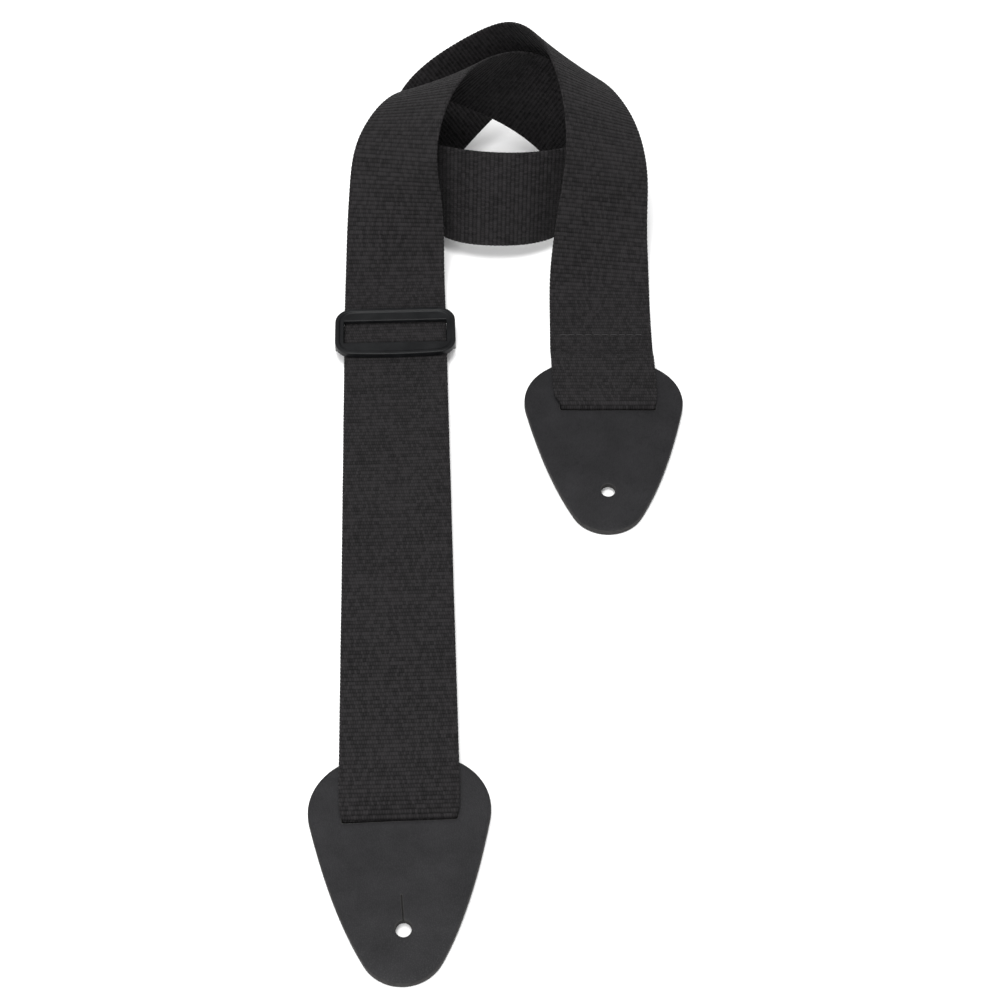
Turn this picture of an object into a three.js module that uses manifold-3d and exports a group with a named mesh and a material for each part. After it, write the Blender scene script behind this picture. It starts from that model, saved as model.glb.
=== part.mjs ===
// Guitar strap: one long ribbed webbing, a leather end on each side and a plastic slider.
// Millimetres, +Z up, standing on the plane z = 0.
//
// The strap lies with both leather ends towards -Y and its middle stands up as a loop at +Y.
// The webbing is one band on the real strap. Here it is cut into stretches, each with a flat or
// gently curved shape of its own, with a hairline between them.
import * as THREE from 'three';
import Module from 'manifold-3d';
import { mergeVertices } from 'three/addons/utils/BufferGeometryUtils.js';

const wasm = await Module();
wasm.setup();

// ---------------------------------------------------------------- driving dimensions
const webbingWidth = 50.8; // two inch webbing
const webbingThick = 1.5;
const layerGap = 0.2; // air between two layers that lie on each other
const cut = 0.3; // hairline between two stretches of the webbing

const leatherLength = 110;
const leatherHalfWidth = 38.65;
const leatherWidest = 83; // how far from the tip the leather is widest
const leatherTipRadius = 18;
const leatherShoulderRadius = 27;
const leatherTipSweep = THREE.MathUtils.degToRad(29); // the tip arc ends this far below its middle
const leatherShoulderSweep = THREE.MathUtils.degToRad(12); // and the shoulder arcs start this far below
const leatherThick = 2.6;
const leftLeatherTurn = THREE.MathUtils.degToRad(0.7); // the left leather hangs this askew in its slot
const slotNear = 76.6; // webbing slot, distances from the tip
const slotFar = 81.8;
const slotLength = 51.6;
const foldPastSlot = 0.3; // centre of the webbing's fold, past the slot's far edge
const foldStraight = 2; // straight ends of the fold
const buttonHoleRadius = 3.5;
const buttonHoleFromTip = 26;
const slitLength = 14;
const slitWidth = 0.6;
const leatherLift = 0.02;

const leftLegLength = 384; // leather tip to the foot of the loop
const leftLegLean = THREE.MathUtils.degToRad(2);
const leftFoot = new THREE.Vector3(-57.8, 116, 0); // where the left leg lifts off into the loop
const rightLegLength = 136;
const rightFoot = new THREE.Vector3(45.5, 108, 0);
const bendFromTip = 122; // the strap ends bend up here, just past the leather

const leftStrandBottom = 5.6; // underside of the upper layer on the left leg
const rightStrandBottom = webbingThick + layerGap;
const rightOverLeather = 5.3; // underside of the upper layer where it lies on the right leather
const carrierLength = 26; // doubled webbing next to the left bend, between bend and free stretch

const sliderLength = 32; // along the strap
const sliderWidth = 60;
const sliderCentre = -17; // from the foot of the loop
const sliderCorner = 9;
const sliderBow = 0.8; // the outer bar on the leather's side bulges this far
const railFoot = 4.5; // half length of the rails' lowest stretch, under the centre bar
const railCurve = 2.5; // from there the rails rise in a curve that turns this far out
const railShallow = 10; // and are shallow from here on, measured from the centre bar
const railEndHigh = 2.6; // height of the shallow stretch, under the top face
const rimWidth = 2.2; // raised rim round the slider's top face
const rimHigh = 0.7;
const sliderBar = 8.2; // width of the two outer bars, rim included
const centreBarWidth = 7;
const centreBarBottom = webbingThick + layerGap;
const centreBarThick = 2;
const centreBarRoot = 1; // the centre bar runs this far into each rail
const outerBarBottom = leftStrandBottom + webbingThick + layerGap;
const outerBarThick = 2.2;
const railWindow = webbingWidth + 0.4; // clear width between the slider's two side rails
const flapLevel = 1; // the webbing's sewn end leaves the centre bar level this far,
const flapSlope = 8; // slopes down over this length
const flapLength = 19; // and lies flat for this length

const slopeFromLeather = 1; // the upper layer slopes down from just past the leather
const slopeFromBend = 2; // to just before the right bend
const seamLength = 12; // doubled and sewn webbing past the right bend
const seamStitch = 8; // from the bend to the row of stitches
const flapStitches = [4, 14]; // from the flap's end to its two rows of stitches
const stitchLong = 1.2;
const stitchHigh = 0.5;

// ---------------------------------------------------------------- materials
const webbingBlack = new THREE.MeshStandardMaterial({ color: 0x2e2c2e, roughness: 0.9, metalness: 0 });
const leatherBlack = new THREE.MeshStandardMaterial({ color: 0x3a3a3c, roughness: 0.6, metalness: 0 });
const plasticBlack = new THREE.MeshStandardMaterial({ color: 0x28282a, roughness: 0.4, metalness: 0 });
const threadBlack = new THREE.MeshStandardMaterial({ color: 0x48464a, roughness: 0.8, metalness: 0 });

// ---------------------------------------------------------------- helpers
function solidFrom(geometry) {
  const bare = geometry.index ? geometry.toNonIndexed() : geometry.clone();
  bare.deleteAttribute('normal');
  bare.deleteAttribute('uv');
  const merged = mergeVertices(bare, 1e-4);
  return new wasm.Manifold(new wasm.Mesh({
    numProp: 3,
    vertProperties: Float32Array.from(merged.attributes.position.array),
    triVerts: Uint32Array.from(merged.index.array),
  }));
}

function geometryFrom(solid) {
  const mesh = solid.getMesh();
  const geometry = new THREE.BufferGeometry();
  geometry.setAttribute('position', new THREE.BufferAttribute(new Float32Array(mesh.vertProperties), 3));
  geometry.setIndex(new THREE.BufferAttribute(new Uint32Array(mesh.triVerts), 1));
  geometry.computeVertexNormals();
  return geometry;
}

function named(name, geometry, material) {
  const mesh = new THREE.Mesh(geometry, material);
  mesh.name = name;
  return mesh;
}

// A side view (x along the leg, y up) drawn across the whole strap: x, y, depth become Y, Z, X.
function acrossStrap(sideView, width = webbingWidth) {
  const geometry = new THREE.ExtrudeGeometry(sideView, {
    depth: width, bevelEnabled: false, curveSegments: 12,
  });
  geometry.translate(0, 0, -width / 2);
  return geometry.applyMatrix4(new THREE.Matrix4().makeBasis(
    new THREE.Vector3(0, 1, 0), new THREE.Vector3(0, 0, 1), new THREE.Vector3(1, 0, 0),
  ));
}

function layerView(from, to, bottom, thick = webbingThick) {
  const view = new THREE.Shape();
  view.moveTo(from, bottom);
  view.lineTo(to, bottom);
  view.lineTo(to, bottom + thick);
  view.lineTo(from, bottom + thick);
  view.closePath();
  return view;
}

// A layer that steps from one height to another, both at a stretch of its own.
function steppedView(points) {
  const view = new THREE.Shape();
  view.moveTo(...points[0]);
  points.slice(1).forEach((point) => view.lineTo(...point));
  const upper = points.map(([along, up]) => [along, up + webbingThick]);
  upper.reverse().forEach((point) => view.lineTo(...point));
  view.closePath();
  return view;
}

// The webbing's hairpin, a half turn of constant thickness round the point (along, up).
// side -1 bulges towards the leather's tip, +1 towards the loop.
function hairpinView(along, up, middleRadius, side, straight) {
  const outer = middleRadius + webbingThick / 2;
  const inner = middleRadius - webbingThick / 2;
  const end = along - side * straight;
  const view = new THREE.Shape();
  view.moveTo(end, up - outer);
  view.lineTo(along, up - outer);
  view.absarc(along, up, outer, -Math.PI / 2, Math.PI / 2, side < 0);
  view.lineTo(end, up + outer);
  view.lineTo(end, up + inner);
  view.lineTo(along, up + inner);
  view.absarc(along, up, inner, Math.PI / 2, -Math.PI / 2, side > 0);
  view.lineTo(end, up - inner);
  view.closePath();
  return view;
}

// ---------------------------------------------------------------- leather ends
// The outline is a rounded triangle: tip arc, gently bulging flanks, shoulder arcs, straight top.
function leatherGeometry(slit) {
  const outline = new THREE.Shape();
  const shoulderX = leatherHalfWidth - leatherShoulderRadius;
  const onArc = (x, y, radius, angle) => new THREE.Vector2(
    x + radius * Math.cos(angle), y + radius * Math.sin(angle),
  );
  const flankStart = onArc(0, leatherTipRadius, leatherTipRadius, -leatherTipSweep);
  const flankEnd = onArc(shoulderX, leatherWidest, leatherShoulderRadius, -leatherShoulderSweep);
  const startSlope = Math.tan(leatherTipSweep);
  const endSlope = Math.tan(leatherShoulderSweep);
  const bulgeY = (flankEnd.x - flankStart.x + startSlope * flankStart.y - endSlope * flankEnd.y)
    / (startSlope - endSlope);
  const bulgeX = flankStart.x + startSlope * (bulgeY - flankStart.y);
  outline.absarc(0, leatherTipRadius, leatherTipRadius,
    Math.PI + leatherTipSweep, 2 * Math.PI - leatherTipSweep, false);
  outline.quadraticCurveTo(bulgeX, bulgeY, flankEnd.x, flankEnd.y);
  outline.absarc(shoulderX, leatherWidest, leatherShoulderRadius, -leatherShoulderSweep, Math.PI / 2, false);
  outline.lineTo(-shoulderX, leatherLength);
  outline.absarc(-shoulderX, leatherWidest, leatherShoulderRadius,
    Math.PI / 2, Math.PI + leatherShoulderSweep, false);
  outline.quadraticCurveTo(-bulgeX, bulgeY, -flankStart.x, flankStart.y);

  const slot = new THREE.Path();
  slot.moveTo(-slotLength / 2, slotNear);
  slot.lineTo(slotLength / 2, slotNear);
  slot.lineTo(slotLength / 2, slotFar);
  slot.lineTo(-slotLength / 2, slotFar);
  slot.closePath();

  // With a slit the button hole is a keyhole, open towards the webbing.
  const keyhole = new THREE.Path();
  if (slit) {
    const half = Math.asin(slitWidth / 2 / buttonHoleRadius);
    keyhole.absarc(0, buttonHoleFromTip, buttonHoleRadius, Math.PI / 2 + half, Math.PI * 2.5 - half, false);
    keyhole.lineTo(slitWidth / 2, buttonHoleFromTip + buttonHoleRadius + slitLength);
    keyhole.lineTo(-slitWidth / 2, buttonHoleFromTip + buttonHoleRadius + slitLength);
    keyhole.closePath();
  } else {
    keyhole.absarc(0, buttonHoleFromTip, buttonHoleRadius, 0, Math.PI * 2, false);
  }

  outline.holes.push(slot, keyhole);
  return new THREE.ExtrudeGeometry(outline, {
    depth: leatherThick, bevelEnabled: false, curveSegments: 16,
  });
}

// The tip lies on the plane and the slot is raised by the webbing folded under it. A leather that
// hangs askew is turned round the middle of its slot.
const leatherTilt = Math.atan2(webbingThick + layerGap, slotFar);

function leatherEnd(name, tipAlong, slit, askew) {
  const leather = named(name, leatherGeometry(slit), leatherBlack);
  leather.position.set(slotFar * Math.sin(askew), tipAlong + slotFar * (1 - Math.cos(askew)), leatherLift);
  leather.rotation.set(leatherTilt, 0, askew);
  return leather;
}

// The webbing goes down through the slot and back under the leather.
function slotFold(name, tipAlong, upperBottom) {
  const middleRadius = upperBottom / 2;
  const up = middleRadius + webbingThick / 2;
  const along = tipAlong + slotFar + foldPastSlot;
  return named(name, acrossStrap(hairpinView(along, up, middleRadius, -1, foldStraight)), webbingBlack);
}
const foldEnd = slotFar + foldPastSlot + foldStraight; // from the tip, where the slot fold stops

// ---------------------------------------------------------------- left leg
function leftEnd(tip) {
  const bend = tip + bendFromTip - cut / 2;
  const start = tip + foldEnd + cut;
  return [
    leatherEnd('leather_end_left', tip, true, leftLeatherTurn),
    slotFold('webbing_left_slot_fold', tip, leftStrandBottom),
    named('webbing_left_over_leather', acrossStrap(layerView(start, bend, leftStrandBottom)), webbingBlack),
    named('webbing_left_under_leather', acrossStrap(layerView(start, bend, 0)), webbingBlack),
  ];
}

function leftCarrier(tip) {
  const from = tip + bendFromTip + cut / 2;
  const to = from + carrierLength;
  return [
    named('webbing_left_lower_front', acrossStrap(layerView(from, to, leftStrandBottom)), webbingBlack),
    named('webbing_left_lower_back', acrossStrap(layerView(from, to, 0)), webbingBlack),
  ];
}

// The free stretch of the doubled webbing: the upper layer runs on through the slider.
function leftStrands(tip) {
  const from = tip + bendFromTip + cut / 2 + carrierLength + cut;
  const backEnd = sliderCentre + centreBarWidth / 2;
  return [
    named('webbing_left_front', acrossStrap(layerView(from, -cut / 2, leftStrandBottom)), webbingBlack),
    named('webbing_left_back', acrossStrap(layerView(from, backEnd, 0)), webbingBlack),
  ];
}

// ---------------------------------------------------------------- slider
function sliderOutline(inset = 0) {
  const shape = new THREE.Shape();
  const x = sliderWidth / 2 - sliderCorner;
  const y = sliderLength / 2 - sliderCorner;
  const radius = sliderCorner - inset;
  shape.absarc(x, y, radius, 0, Math.PI / 2, false);
  shape.absarc(-x, y, radius, Math.PI / 2, Math.PI, false);
  shape.absarc(-x, -y, radius, Math.PI, Math.PI * 1.5, false);
  shape.quadraticCurveTo(0, -y - radius - 2 * sliderBow, x, -y - radius);
  shape.absarc(x, -y, radius, Math.PI * 1.5, Math.PI * 2, false);
  return shape;
}

function sliderSlab(inset, bottom, high) {
  const slab = new THREE.ExtrudeGeometry(sliderOutline(inset), {
    depth: high, bevelEnabled: false, curveSegments: 8,
  });
  return slab.translate(0, 0, bottom);
}

const spare = 2; // how far a cutting shape stands out past the slider

// Seen from the side the frame is a boat: deep where the centre bar joins, shallow at its ends.
function sliderBoat(top) {
  const end = sliderLength / 2 + 2 * sliderBow;
  const view = new THREE.Shape();
  view.moveTo(-end, top + spare);
  view.lineTo(-end, top - railEndHigh);
  view.lineTo(-railShallow, top - railEndHigh);
  view.quadraticCurveTo(-railFoot - railCurve, centreBarBottom, -railFoot, centreBarBottom);
  view.lineTo(railFoot, centreBarBottom);
  view.quadraticCurveTo(railFoot + railCurve, centreBarBottom, railShallow, top - railEndHigh);
  view.lineTo(end, top - railEndHigh);
  view.lineTo(end, top + spare);
  view.closePath();
  return acrossStrap(view, sliderWidth + spare);
}

// Three bars between two side rails. The webbing passes under the outer bars and over the centre one.
function sliderGeometry() {
  const top = outerBarBottom + outerBarThick;
  const block = sliderSlab(0, centreBarBottom, top + rimHigh - centreBarBottom);
  const insideRim = sliderSlab(rimWidth, top, rimHigh + spare);
  const windowLength = sliderLength - 2 * sliderBar;
  const upperWindow = new THREE.BoxGeometry(railWindow, windowLength, 2 * outerBarThick);
  upperWindow.translate(0, 0, outerBarBottom + outerBarThick / 2);
  const tunnelHigh = outerBarBottom - centreBarBottom + spare;
  const lowerTunnel = new THREE.BoxGeometry(railWindow, sliderLength + 3 * spare, tunnelHigh);
  lowerTunnel.translate(0, 0, outerBarBottom - tunnelHigh / 2);
  const centreBar = new THREE.BoxGeometry(
    railWindow + 2 * centreBarRoot, centreBarWidth, centreBarThick,
  );
  centreBar.translate(0, 0, centreBarBottom + centreBarThick / 2);
  const frame = solidFrom(block)
    .intersect(solidFrom(sliderBoat(top)))
    .subtract(solidFrom(insideRim))
    .subtract(solidFrom(lowerTunnel))
    .subtract(solidFrom(upperWindow))
    .add(solidFrom(centreBar));
  return geometryFrom(frame);
}

// The webbing's end: round the centre bar, back over it and down onto the lower layer.
function barLoop() {
  const over = centreBarBottom + centreBarThick + layerGap;
  const lying = webbingThick + layerGap;
  const edge = sliderCentre - centreBarWidth / 2;
  const turn = sliderCentre + centreBarWidth / 2 + cut;
  const slopeEnd = edge - flapLevel - flapSlope;
  const flapEnd = slopeEnd - flapLength;
  const flap = steppedView([
    [flapEnd, lying], [slopeEnd, lying], [edge - flapLevel, over], [turn - cut, over],
  ]);
  return [
    named('webbing_bar_flap', acrossStrap(flap), webbingBlack),
    named('webbing_bar_turn', acrossStrap(
      hairpinView(turn, (over + webbingThick) / 2, over / 2, 1, 0.01),
    ), webbingBlack),
    ...flapStitches.map((inset, i) => named(
      `stitch_bar_flap_${i + 1}`,
      acrossStrap(layerView(
        flapEnd + inset, flapEnd + inset + stitchLong, lying + webbingThick + layerGap, stitchHigh,
      ), webbingWidth - 8),
      threadBlack,
    )),
  ];
}

function slider() {
  const frame = named('slider_frame', sliderGeometry(), plasticBlack);
  frame.position.set(0, sliderCentre, 0);
  return [frame, ...barLoop()];
}

// ---------------------------------------------------------------- right leg
function rightEnd(tip) {
  const bend = tip + bendFromTip - cut / 2;
  const start = tip + foldEnd + cut;
  const leatherTop = tip + leatherLength;
  const upper = steppedView([
    [start, rightOverLeather], [leatherTop + slopeFromLeather, rightOverLeather],
    [bend - slopeFromBend, rightStrandBottom], [bend, rightStrandBottom],
  ]);
  return [
    leatherEnd('leather_end_right', tip, false, 0),
    slotFold('webbing_right_slot_fold', tip, rightOverLeather),
    named('webbing_right_over_leather', acrossStrap(upper), webbingBlack),
    named('webbing_right_under_leather', acrossStrap(layerView(start, bend, 0)), webbingBlack),
  ];
}

function rightSeam(tip) {
  const from = tip + bendFromTip + cut / 2;
  const stitchBottom = rightStrandBottom + webbingThick + layerGap;
  return [
    named('webbing_right_seam', acrossStrap(layerView(from, -cut / 2, rightStrandBottom)), webbingBlack),
    named('webbing_right_tail', acrossStrap(layerView(from, from + seamLength, 0)), webbingBlack),
    named('stitch_right_seam', acrossStrap(
      layerView(from + seamStitch, from + seamStitch + stitchLong, stitchBottom, stitchHigh),
      webbingWidth - 6,
    ), threadBlack),
  ];
}

// ---------------------------------------------------------------- the loop
// Guide points of the webbing's middle line, from the left foot to the right one, each with the
// direction in which the webbing's width runs there. The curve is a uniform cubic B-spline, so it
// passes near the guides and bends evenly.
const guideSpacing = 32;
const leftStrandMiddle = leftStrandBottom + webbingThick / 2;
const rightStrandMiddle = rightStrandBottom + webbingThick / 2;
const loopGuides = [
  [-58, 168, 35, 0.95, -0.3, 0.05],
  [-60, 182, 62, 0.8, -0.55, 0.3],
  [-44, 219, 72, 0.65, -0.6, 0.55],
  [-22, 238, 61, 0.55, -0.3, 0.8],
  [5, 251, 44, 0.4, 0, 0.95],
  [36, 241, 26, 0.5, 0.05, 0.85],
  [45, 207, 22, 0.45, 0.15, 0.9],
  [28, 176, 31, 0.05, 0.25, 1],
  [-6, 167, 35, -0.2, 0.3, 0.95],
  [-39, 177, 32, -0.35, 0.55, 0.85],
  [-53, 208, 23, -0.4, 0.7, 0.85],
  [-45, 243, 24, -0.3, 0.6, 0.95],
  [-21, 261, 38, -0.2, 0.15, 1.05],
  [9, 269, 57, -0.2, -0.25, 1.05],
  [32, 247, 67, -0.5, -0.55, 0.75],
  [45, 215, 64, -0.7, -0.4, 0.55],
  [51, 184, 51, -0.85, -0.25, 0.5],
  [47, 164, 26, -0.9, -0.15, 0.5],
];

// Three guides in line with each leg let the loop start flat and straight.
function straightGuides(foot, up, heading, width) {
  return [-1, 0, 1].map((step) => [
    ...foot.clone().addScaledVector(heading, step * guideSpacing).setZ(up).toArray(),
    ...width.toArray(),
  ]);
}

const leftHeading = new THREE.Vector3(-Math.sin(leftLegLean), Math.cos(leftLegLean), 0);
const leftWidth = new THREE.Vector3(Math.cos(leftLegLean), Math.sin(leftLegLean), 0);
const guides = [
  ...straightGuides(leftFoot, leftStrandMiddle, leftHeading, leftWidth),
  ...loopGuides,
  ...straightGuides(rightFoot, rightStrandMiddle, new THREE.Vector3(0, -1, 0), new THREE.Vector3(-1, 0, 0)),
];
const spans = guides.length - 3;

// Middle point and width direction at u, counted in spans from the left foot.
function onGuides(u) {
  const span = Math.min(Math.floor(u), spans - 1);
  const f = u - span;
  const weights = [
    (1 - f) ** 3 / 6,
    (3 * f ** 3 - 6 * f ** 2 + 4) / 6,
    (-3 * f ** 3 + 3 * f ** 2 + 3 * f + 1) / 6,
    f ** 3 / 6,
  ];
  const sum = [0, 1, 2, 3, 4, 5].map((axis) => weights.reduce(
    (total, weight, i) => total + weight * guides[span + i][axis], 0,
  ));
  return { point: new THREE.Vector3(...sum.slice(0, 3)), width: new THREE.Vector3(...sum.slice(3)) };
}

// One stretch of the loop as a three.js curve whose frames keep the webbing's width direction.
class WebbingCurve extends THREE.Curve {
  constructor(from, to) {
    super();
    this.from = from;
    this.to = to;
  }

  getPoint(t, target = new THREE.Vector3()) {
    return target.copy(onGuides(this.from + (this.to - this.from) * t).point);
  }

  computeFrenetFrames(segments) {
    const tangents = [];
    const normals = [];
    const binormals = [];
    for (let i = 0; i <= segments; i += 1) {
      const t = this.getUtoTmapping(i / segments);
      const tangent = this.getTangent(t);
      const { width } = onGuides(this.from + (this.to - this.from) * t);
      const across = width.addScaledVector(tangent, -width.dot(tangent)).normalize();
      tangents.push(tangent);
      normals.push(across);
      binormals.push(new THREE.Vector3().crossVectors(tangent, across));
    }
    return { tangents, normals, binormals };
  }
}

function loopStretch(name, from, to) {
  const section = new THREE.Shape();
  section.moveTo(-webbingWidth / 2, -webbingThick / 2);
  section.lineTo(webbingWidth / 2, -webbingThick / 2);
  section.lineTo(webbingWidth / 2, webbingThick / 2);
  section.lineTo(-webbingWidth / 2, webbingThick / 2);
  section.closePath();
  const trim = cut / 2 / guideSpacing;
  return named(name, new THREE.ExtrudeGeometry(section, {
    extrudePath: new WebbingCurve(from + trim, to - trim), steps: 20, bevelEnabled: false,
  }), webbingBlack);
}

const loopNames = [
  'webbing_left_rise', 'webbing_left_crest', 'webbing_right_turn', 'webbing_front_band',
  'webbing_left_turn', 'webbing_right_crest', 'webbing_right_rise',
];

function loop() {
  const each = spans / loopNames.length;
  return loopNames.map((name, i) => loopStretch(name, i * each, (i + 1) * each));
}

// ---------------------------------------------------------------- assembly
const group = new THREE.Group();

const leftLeg = new THREE.Group();
leftLeg.position.copy(leftFoot);
leftLeg.rotation.z = leftLegLean;
leftLeg.add(...leftEnd(-leftLegLength), ...leftCarrier(-leftLegLength), ...leftStrands(-leftLegLength));
leftLeg.add(...slider());

const rightLeg = new THREE.Group();
rightLeg.position.copy(rightFoot);
rightLeg.add(...rightEnd(-rightLegLength), ...rightSeam(-rightLegLength));

group.add(leftLeg, rightLeg, ...loop());

export default group;
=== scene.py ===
"""Guitar strap: the looks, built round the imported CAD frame. Metres, +Z up, in the CAD's own frame.

The webbing is one band. Its middle line runs from the sewn end at the slider, back under the
left leg, through the left leather end, up the left leg, round the loop and down to the right
leather end. The line is laid out once, and each piece of webbing is a stretch of it, so the
ribs run on from piece to piece.
"""

import math

import bmesh
import bpy
import numpy as np
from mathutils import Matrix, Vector
from mathutils.geometry import delaunay_2d_cdt


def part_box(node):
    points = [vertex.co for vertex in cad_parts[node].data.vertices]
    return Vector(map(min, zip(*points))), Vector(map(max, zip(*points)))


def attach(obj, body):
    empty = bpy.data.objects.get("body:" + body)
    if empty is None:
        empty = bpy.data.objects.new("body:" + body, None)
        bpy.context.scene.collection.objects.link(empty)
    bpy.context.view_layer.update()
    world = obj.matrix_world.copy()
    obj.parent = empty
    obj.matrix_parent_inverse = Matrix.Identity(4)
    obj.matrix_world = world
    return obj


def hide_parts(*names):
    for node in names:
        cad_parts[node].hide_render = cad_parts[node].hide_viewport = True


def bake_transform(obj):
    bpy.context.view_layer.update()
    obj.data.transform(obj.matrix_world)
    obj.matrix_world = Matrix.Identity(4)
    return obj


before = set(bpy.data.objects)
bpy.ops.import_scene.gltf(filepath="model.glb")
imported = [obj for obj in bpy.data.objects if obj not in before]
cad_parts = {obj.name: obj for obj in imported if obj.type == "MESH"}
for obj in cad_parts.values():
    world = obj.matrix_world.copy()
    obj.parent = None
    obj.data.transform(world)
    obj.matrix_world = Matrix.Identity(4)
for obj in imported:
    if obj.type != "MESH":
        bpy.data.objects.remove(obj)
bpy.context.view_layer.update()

MM = 0.001

# ---------------------------------------------------------------- sizes
WEBBING_WIDTH = 50.8 * MM
WEBBING_THICK = 1.5 * MM
RIB_PITCH = 2.125 * MM
ROWS_PER_RIB = 6
YARN_PITCH = 1.15 * MM
DEEP_GROOVE = 0.30 * MM  # every second groove between the ribs
SHALLOW_GROOVE = 0.17 * MM
SELVEDGE_NOTCH = 0.16 * MM

LEFT_FOOT = Vector((-57.8, 116, 0)) * MM  # where the left leg lifts off into the loop
LEFT_LEAN = math.radians(2)
LEFT_TIP = -384 * MM  # leather tip, along the leg from its foot
RIGHT_FOOT = Vector((45.5, 108, 0)) * MM
RIGHT_TIP = -136 * MM

LEATHER_LENGTH = 110 * MM
LEATHER_HALF_WIDTH = 38.65 * MM
LEATHER_WIDEST = 83 * MM
TIP_RADIUS = 18 * MM
SHOULDER_RADIUS = 27 * MM
TIP_SWEEP = math.radians(29)
SHOULDER_SWEEP = math.radians(12)
LEATHER_THICK = 2.6 * MM
LEATHER_ROUNDING = 0.45 * MM
SLOT_NEAR = 77.2 * MM
SLOT_FAR = 81.8 * MM
SLOT_CORNER = 1.0 * MM
LEFT_SLOT = (0, 48.6 * MM)  # middle across the leather, and length
RIGHT_SLOT = (2.0 * MM, 46.4 * MM)
LEFT_TURN = math.radians(0.7)  # the left leather hangs askew, turned round its slot
HOLE_RADIUS = 3.3 * MM
HOLE_STRETCH = 1.14  # worn longer than it is wide
HOLE_ASIDE = 0.5 * MM
HOLE_FROM_TIP = 24.9 * MM
SLIT_LENGTH = 12.2 * MM
SLIT_WIDTH = 0.26 * MM
SLIT_SHUT = 1.3 * MM  # the height up to which the sides of the slit still touch
LEATHER_LIFT = 0.02 * MM
LEATHER_ARCH = 0.95 * MM
LEATHER_TILT = math.atan2(1.7 * MM, SLOT_FAR)

FOLD_CENTRE = 81.4 * MM  # centre of the webbing's turn through the slot, from the leather tip
BEND_FROM_TIP = 122 * MM
CARRIER_END = 148.15 * MM  # end of the doubled webbing next to the left bend, from the tip

SLIDER_CENTRE = -17 * MM
CENTRE_BAR_WIDTH = 7 * MM
FLAP_SLOPE = 9 * MM  # the sewn end comes down from the bar over this length
FLAP_LEVEL = 19 * MM  # and then lies level over this one
BAR_GAP = 0.3 * MM
EDGE_GAP = 0.5 * MM  # from the leather's edge to where the webbing starts to climb on to it
RIGHT_TAIL = 12 * MM  # how far the right end's lower layer goes on past the bend

SLIDER_REACH = 16 * MM  # the slider presses the webbing flat this far from its bar
RIGHT_WANDER = 1.1 * MM

# Heights of the middle of the webbing's layers.
LOWER_MIDDLE = WEBBING_THICK / 2
LEFT_UPPER = sum(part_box("webbing_left_over_leather")[i].z for i in (0, 1)) / 2
RIGHT_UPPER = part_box("webbing_right_over_leather")[1].z - WEBBING_THICK / 2
RIGHT_SEAM = sum(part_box("webbing_right_seam")[i].z for i in (0, 1)) / 2
FLAP_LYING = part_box("webbing_bar_flap")[0].z + WEBBING_THICK / 2
FLAP_OVER_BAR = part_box("webbing_bar_flap")[1].z - WEBBING_THICK / 2

# The loop's guide points, in millimetres, each with the way the webbing's width runs there.
GUIDE_SPACING = 32  # between the guides in line with a leg
SPAN_STEPS = 160
LOOP_GUIDES = [
    (-58, 168, 35, 0.95, -0.3, 0.05),
    (-60, 182, 62, 0.8, -0.55, 0.3),
    (-44, 219, 72, 0.65, -0.6, 0.55),
    (-22, 238, 61, 0.55, -0.3, 0.8),
    (5, 251, 44, 0.4, 0, 0.95),
    (36, 241, 26, 0.5, 0.05, 0.85),
    (45, 207, 22, 0.45, 0.15, 0.9),
    (28, 176, 31, 0.05, 0.25, 1),
    (-6, 167, 35, -0.2, 0.3, 0.95),
    (-39, 177, 32, -0.35, 0.55, 0.85),
    (-53, 208, 23, -0.4, 0.7, 0.85),
    (-45, 243, 24, -0.3, 0.6, 0.95),
    (-21, 261, 38, -0.2, 0.15, 1.05),
    (9, 269, 57, -0.2, -0.25, 1.05),
    (32, 247, 67, -0.5, -0.55, 0.75),
    (45, 215, 64, -0.7, -0.4, 0.55),
    (51, 184, 51, -0.85, -0.25, 0.5),
    (47, 164, 26, -0.9, -0.15, 0.5),
]


# ---------------------------------------------------------------- legs
def left_leg(points):
    """Points in the left leg's own frame (x across, y towards the loop, z up), in the CAD frame."""
    points = np.asarray(points, float)
    c, s = math.cos(LEFT_LEAN), math.sin(LEFT_LEAN)
    turned = np.column_stack([
        c * points[:, 0] - s * points[:, 1],
        s * points[:, 0] + c * points[:, 1],
        points[:, 2],
    ])
    return turned + np.array(LEFT_FOOT)


def off_left_leg(points):
    """The other way: from the CAD frame to the left leg's own frame."""
    x, y, z = (np.asarray(points, float) - np.array(LEFT_FOOT)).T
    c, s = math.cos(LEFT_LEAN), math.sin(LEFT_LEAN)
    return np.column_stack([c * x + s * y, c * y - s * x, z])


def right_leg(points):
    return np.asarray(points, float) + np.array(RIGHT_FOOT)


# ---------------------------------------------------------------- the webbing's middle line
FINE = 0.2 * MM


def straight(start, end):
    """(along, up) points from start to end, without the last one."""
    start, end = np.array(start), np.array(end)
    count = max(2, round(np.linalg.norm(end - start) / FINE))
    return start + (end - start) * np.linspace(0, 1, count, endpoint=False)[:, None]


def smooth(t):
    """From 0 to 1 with a level start and end."""
    return t * t * (3 - 2 * t)


def step(start, end):
    """An S-shaped step from one height to another."""
    line = straight(start, end)
    t = np.linspace(0, 1, len(line), endpoint=False)
    line[:, 1] = start[1] + (end[1] - start[1]) * smooth(t)
    return line


def turn(along, low, high, side, upwards):
    """A half turn between two heights. side is -1 where it bulges towards the tip."""
    radius = (high - low) / 2
    angle = np.linspace(-math.pi / 2, math.pi / 2, round(math.pi * radius / FINE), endpoint=False)
    if not upwards:
        angle = -angle
    return np.column_stack([
        along + side * radius * np.cos(angle),
        (low + high) / 2 + radius * np.sin(angle),
    ])


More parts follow.
